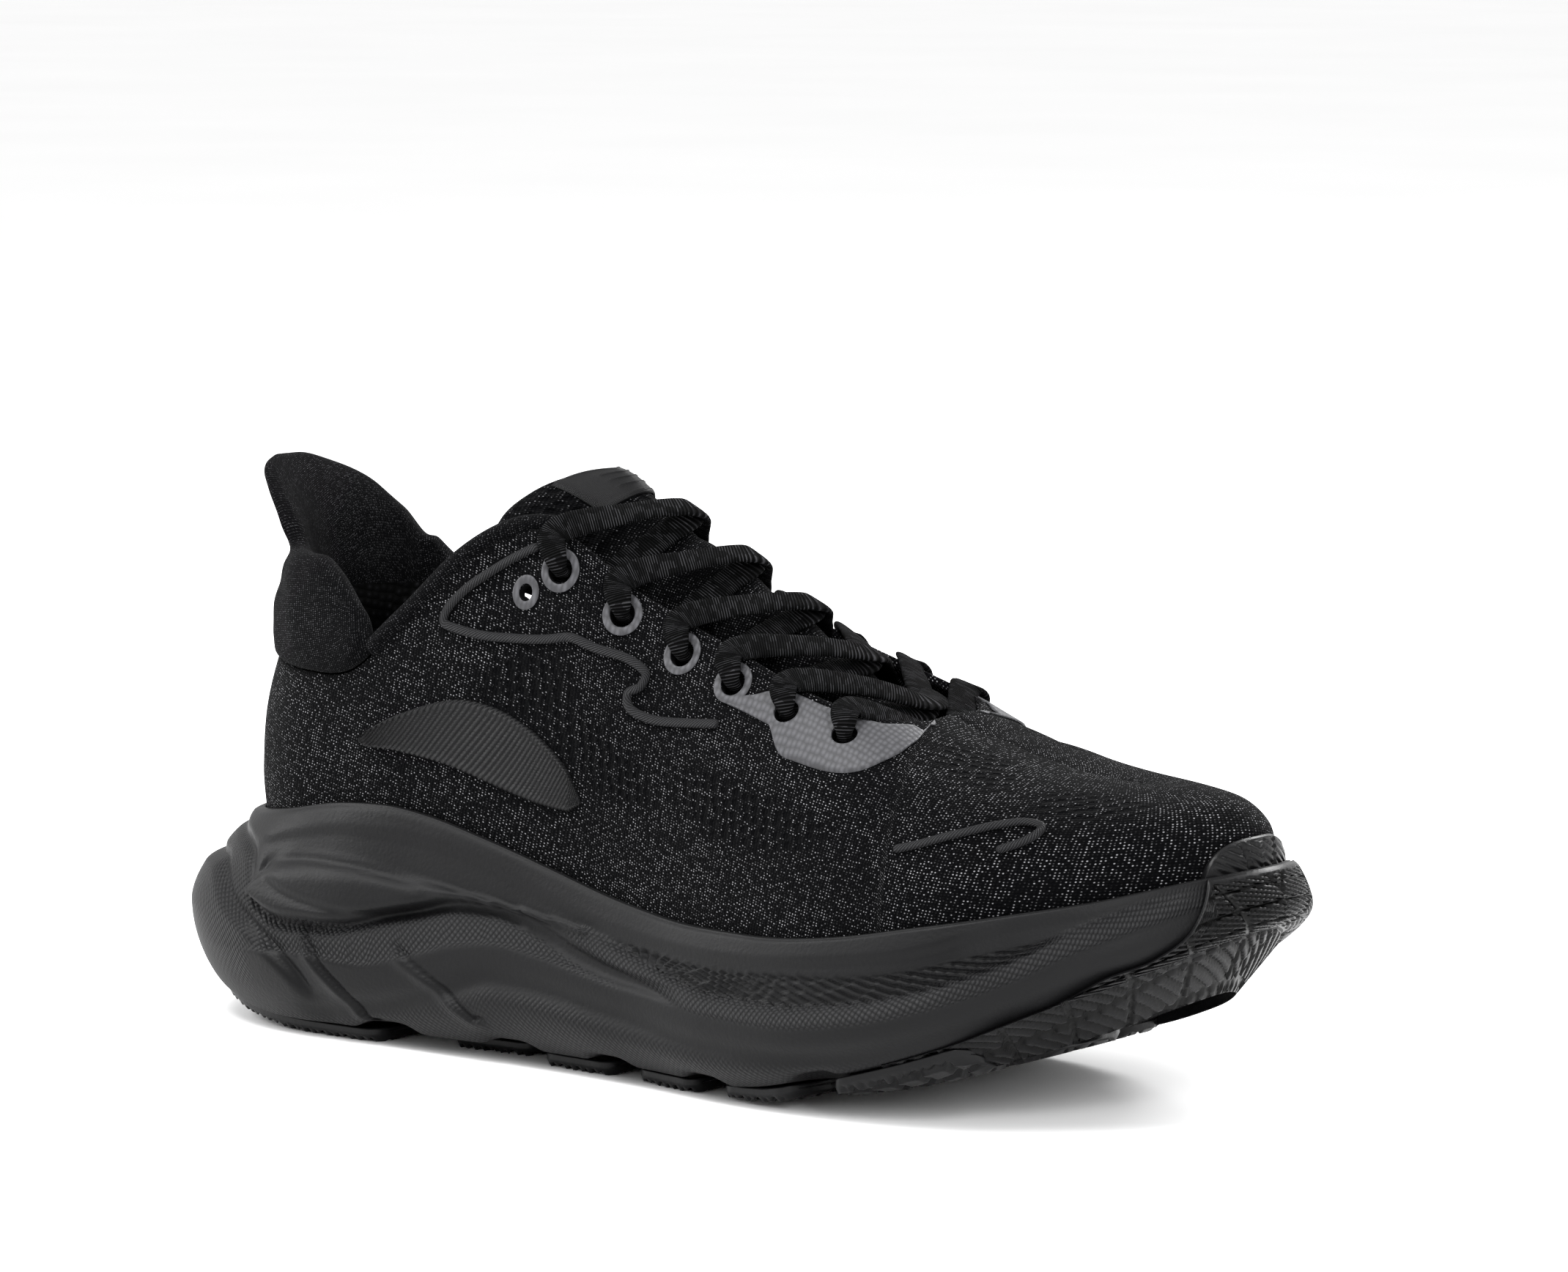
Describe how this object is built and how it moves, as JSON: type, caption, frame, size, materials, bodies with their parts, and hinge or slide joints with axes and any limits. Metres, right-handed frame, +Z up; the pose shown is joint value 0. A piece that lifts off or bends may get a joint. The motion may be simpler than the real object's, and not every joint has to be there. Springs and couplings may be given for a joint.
{
  "type": "running shoe",
  "caption": "Low-cut cushioned running shoe for the right foot: thick sculpted foam sole, rubber pads, knit upper, padded collar with flared pull tab, flat laces",
  "frame": {"origin": "centre of the bounding box on the ground", "axes": "+X to the toe, +Y to the inner (medial) side, +Z up"},
  "size_m": [0.2996, 0.1141, 0.1349],
  "materials": {
    "rubber": "satin moulded black rubber",
    "foam": "satin moulded black foam",
    "film": "light grey grained film",
    "board": "matte stiffener",
    "knit": "black jacquard knit with glinting grey stitches",
    "lace": "flat ribbed black lace",
    "lining": "coarse black spacer mesh",
    "overlay": "satin ribbed black overlay",
    "piping": "raised diagonal-ribbed black piping",
    "soft_knit": "heather black stretch knit, padded"
  },
  "bodies": {
    "shoe": {"midsole": "foam", "outsole_heel_lateral": "rubber", "outsole_heel_medial": "rubber", "outsole_lateral_1": "rubber", "outsole_lateral_2": "rubber", "outsole_lateral_3": "rubber", "outsole_lateral_4": "rubber", "outsole_medial_1": "rubber", "outsole_medial_2": "rubber", "outsole_medial_3": "rubber", "outsole_forefoot_lateral": "rubber", "outsole_forefoot_medial": "rubber", "outsole_forefoot_centre": "rubber", "outsole_toe": "rubber", "toe_lobe": "rubber", "strobel_board": "board", "upper_knit": "knit", "heel_collar": "soft_knit", "heel_counter": "board", "collar_lining": "lining", "collar_binding_lateral": "soft_knit", "collar_binding_medial": "soft_knit", "tongue": "lining", "lace": "lace", "toe_puff": "board", "lace_patch_lateral": "film", "eyelet_ring_lateral_1": "film", "eyelet_ring_lateral_2": "film", "eyelet_ring_lateral_3": "film", "eyelet_ring_lateral_4": "film", "eyelet_ring_lateral_spare": "film", "piping_lateral": "piping", "lace_patch_medial": "film", "eyelet_ring_medial_1": "film", "eyelet_ring_medial_2": "film", "eyelet_ring_medial_3": "film", "eyelet_ring_medial_4": "film", "eyelet_ring_medial_spare": "film", "piping_medial": "piping", "forefoot_hook": "piping", "side_mark": "overlay"},
    "tongue_flap": {"tongue_top": "soft_knit", "tongue_label": "overlay"},
    "pull_tab": {"heel_tab": "soft_knit"},
    "insole": {"sockliner": "lining"}
  },
  "joints": [
    {"name": "tongue_flex", "type": "hinge", "parent": "shoe", "child": "tongue_flap", "pos_m": [-0.031, 0, 0.117], "axis": [0, -1, 0], "range_deg": [0, 6], "stiffness_Nm_per_rad": 0.4},
    {"name": "pull_tab_flex", "type": "hinge", "parent": "shoe", "child": "pull_tab", "pos_m": [-0.13, 0, 0.1124], "axis": [0, -1, 0], "range_deg": [0, 14], "stiffness_Nm_per_rad": 0.4},
    {"name": "insole_lift", "type": "hinge", "parent": "shoe", "child": "insole", "pos_m": [0.13, 0, 0.043], "axis": [0, 1, 0], "range_deg": [0, 2.5]}
  ]
}
